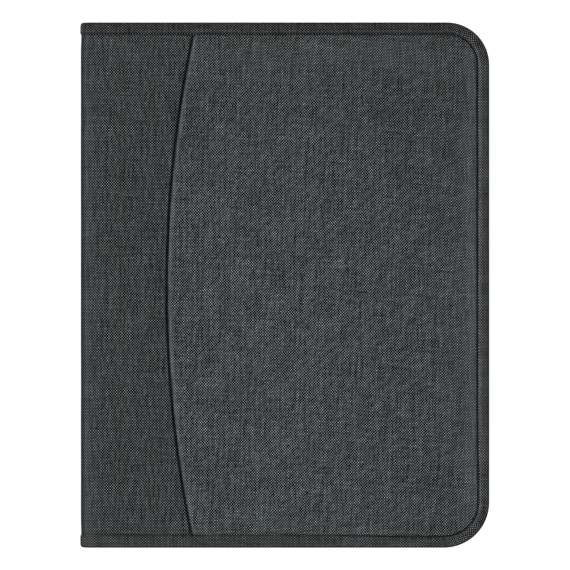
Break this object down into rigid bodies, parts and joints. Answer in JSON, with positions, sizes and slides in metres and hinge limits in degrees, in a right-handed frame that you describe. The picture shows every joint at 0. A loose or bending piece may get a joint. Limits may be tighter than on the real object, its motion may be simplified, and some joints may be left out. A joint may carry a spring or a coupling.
{
  "type": "zippered ring binder",
  "caption": "Fabric ring binder that zips shut on three sides, with a curved front slip pocket, a steel ring mechanism and pockets inside.",
  "frame": {"origin": "centre of the face that the closed binder lies on, under its back cover", "axes": "+X from the spine to the fore edge, +Y from the foot of the page to its head, +Z from the back cover to the front cover"},
  "size_m": [0.272, 0.35, 0.0462],
  "materials": {
    "outer_fabric": "heavy plain-woven anthracite polyester with light and dark threads",
    "binding_tape": "fine woven charcoal binding tape",
    "board": "grey greyboard stiffener, hidden",
    "lining": "smooth black nylon lining",
    "zip_tape": "black herringbone zip tape",
    "zip_coil": "black nylon coil teeth",
    "zip_metal": "gunmetal-plated zinc",
    "nickel_steel": "nickel-plated steel",
    "elastic": "black ribbed elastic webbing"
  },
  "bodies": {
    "back_cover": {"back_outer_fabric": "outer_fabric", "back_binding": "binding_tape", "back_board": "board", "back_lining": "lining", "back_gusset": "outer_fabric", "back_zip_tape": "zip_tape", "back_zip_teeth": "zip_coil", "back_hinge_fabric": "outer_fabric", "back_hinge_lining": "lining", "pad_sleeve": "lining", "zip_top_stop": "zip_metal", "zip_bottom_stop": "zip_metal", "zip_end_cap_top": "binding_tape", "zip_end_cap_bottom": "binding_tape"},
    "spine": {"spine_outer_fabric": "outer_fabric", "spine_board": "board", "spine_lining": "lining", "spine_binding_top": "binding_tape", "spine_binding_bottom": "binding_tape", "front_hinge_fabric": "outer_fabric", "front_hinge_lining": "lining", "ring_housing": "nickel_steel", "mounting_rivet_top": "nickel_steel", "mounting_rivet_bottom": "nickel_steel", "lever_pin_top": "nickel_steel", "lever_pin_bottom": "nickel_steel"},
    "front_cover": {"front_outer_fabric": "outer_fabric", "front_pocket_sheet": "outer_fabric", "front_binding": "binding_tape", "front_board": "board", "front_lining": "lining", "front_gusset": "outer_fabric", "front_zip_tape": "zip_tape", "front_zip_teeth": "zip_coil", "document_pocket": "lining", "card_slot_1": "lining", "card_slot_2": "lining", "card_slot_3": "lining", "card_slot_4": "lining", "phone_pocket": "lining", "pen_loop_1": "elastic", "pen_loop_2": "elastic"},
    "ring_bank_front": {"ring_blade_front": "nickel_steel", "ring_front_1": "nickel_steel", "ring_front_2": "nickel_steel", "ring_front_3": "nickel_steel", "ring_front_4": "nickel_steel"},
    "ring_bank_back": {"ring_blade_back": "nickel_steel", "ring_back_1": "nickel_steel", "ring_back_2": "nickel_steel", "ring_back_3": "nickel_steel", "ring_back_4": "nickel_steel"},
    "lever_top": {"lever_top": "nickel_steel"},
    "lever_bottom": {"lever_bottom": "nickel_steel"},
    "slider": {"zip_slider": "zip_metal"},
    "pull": {"zip_pull": "zip_metal"}
  },
  "joints": [
    {"name": "spine_fold", "type": "hinge", "parent": "back_cover", "child": "spine", "pos_m": [-0.13, 0, 0.006], "axis": [0, -1, 0], "range_deg": [0, 90], "deforming": ["back_hinge_fabric", "back_hinge_lining"]},
    {"name": "front_fold", "type": "hinge", "parent": "spine", "child": "front_cover", "pos_m": [-0.13, 0, 0.039], "axis": [0, -1, 0], "range_deg": [0, 90], "deforming": ["front_hinge_fabric", "front_hinge_lining"]},
    {"name": "ring_front_turn", "type": "hinge", "parent": "spine", "child": "ring_bank_front", "pos_m": [-0.1271, 0, 0.0311], "axis": [0, -1, 0], "range_deg": [0, 22]},
    {"name": "ring_back_turn", "type": "hinge", "parent": "spine", "child": "ring_bank_back", "pos_m": [-0.1271, 0, 0.0139], "axis": [0, 1, 0], "range_deg": [0, 22]},
    {"name": "lever_top_turn", "type": "hinge", "parent": "spine", "child": "lever_top", "pos_m": [-0.1281, 0.1446, 0.0225], "axis": [0, 0, 1], "range_deg": [0, 22]},
    {"name": "lever_bottom_turn", "type": "hinge", "parent": "spine", "child": "lever_bottom", "pos_m": [-0.1281, -0.1446, 0.0225], "axis": [0, 0, -1], "range_deg": [0, 22]},
    {"name": "slider_travel", "type": "slide", "parent": "back_cover", "child": "slider", "axis": [1, 0, 0], "range_m": [0, 0.21]},
    {"name": "pull_swing", "type": "hinge", "parent": "slider", "child": "pull", "pos_m": [-0.1151, 0.169, 0.0225], "axis": [0, 0, 1], "range_deg": [0, 155]}
  ],
  "couplings": [
    {"joint": "ring_back_turn", "follows": "ring_front_turn", "ratio": 1},
    {"joint": "lever_top_turn", "follows": "ring_front_turn", "ratio": 1},
    {"joint": "lever_bottom_turn", "follows": "ring_front_turn", "ratio": 1}
  ]
}
